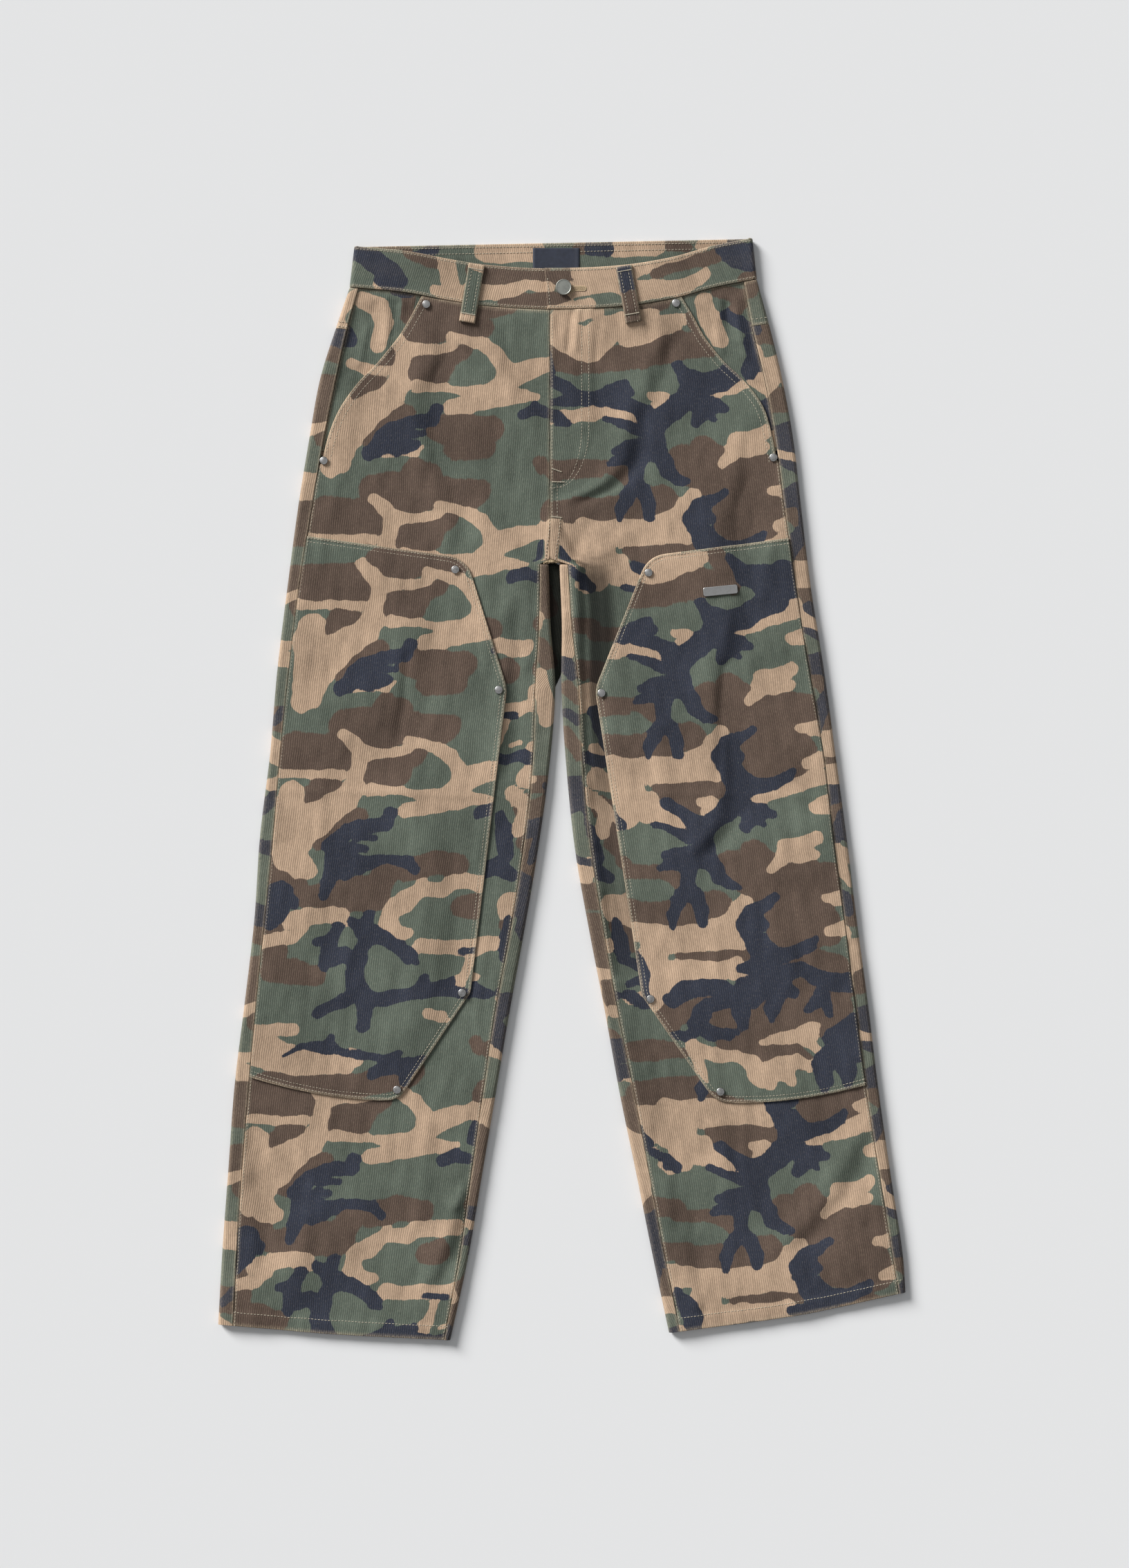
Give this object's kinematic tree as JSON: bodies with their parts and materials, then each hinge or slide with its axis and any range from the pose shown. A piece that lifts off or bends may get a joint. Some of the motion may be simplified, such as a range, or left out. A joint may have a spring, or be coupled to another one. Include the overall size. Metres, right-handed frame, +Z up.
{
  "type": "carpenter trousers",
  "caption": "Straight-leg corduroy work trousers in woodland camouflage, laid flat face up, with double-knee panels, slanted riveted pockets, belt loops and a fly closed by a shank button.",
  "frame": {"origin": "on the surface it lies on, under the middle of the garment's outline", "axes": "+X to the wearer's left, +Y from the hems towards the waist, +Z up from the surface, out of the front of the trousers"},
  "size_m": [0.6746, 1.0814, 0.0133],
  "materials": {
    "camouflage_corduroy": "fine-wale cotton corduroy printed in four-colour woodland camouflage, matt with a soft pile sheen",
    "label_weave": "navy damask woven label, bare",
    "rivet_nickel": "bright nickel-plated cap rivet",
    "button_pewter": "antique pewter plated shank button, plain face",
    "plate_nickel": "plain satin nickel plate"
  },
  "bodies": {
    "root": {"front_right": "camouflage_corduroy", "front_left": "camouflage_corduroy", "back_right": "camouflage_corduroy", "back_left": "camouflage_corduroy", "yoke_right": "camouflage_corduroy", "yoke_left": "camouflage_corduroy", "pocket_facing_right": "camouflage_corduroy", "pocket_facing_left": "camouflage_corduroy", "knee_panel_right": "camouflage_corduroy", "knee_panel_left": "camouflage_corduroy", "belt_loop_right": "camouflage_corduroy", "belt_loop_left": "camouflage_corduroy", "waistband": "camouflage_corduroy", "waist_label": "label_weave", "rivet_pocket_right_1": "rivet_nickel", "rivet_pocket_right_2": "rivet_nickel", "rivet_pocket_left_1": "rivet_nickel", "rivet_pocket_left_2": "rivet_nickel", "rivet_knee_right_1": "rivet_nickel", "rivet_knee_right_2": "rivet_nickel", "rivet_knee_right_3": "rivet_nickel", "rivet_knee_right_4": "rivet_nickel", "rivet_knee_left_1": "rivet_nickel", "rivet_knee_left_2": "rivet_nickel", "rivet_knee_left_3": "rivet_nickel", "rivet_knee_left_4": "rivet_nickel", "fly_button": "button_pewter", "leg_plate": "plate_nickel"}
  },
  "joints": []
}
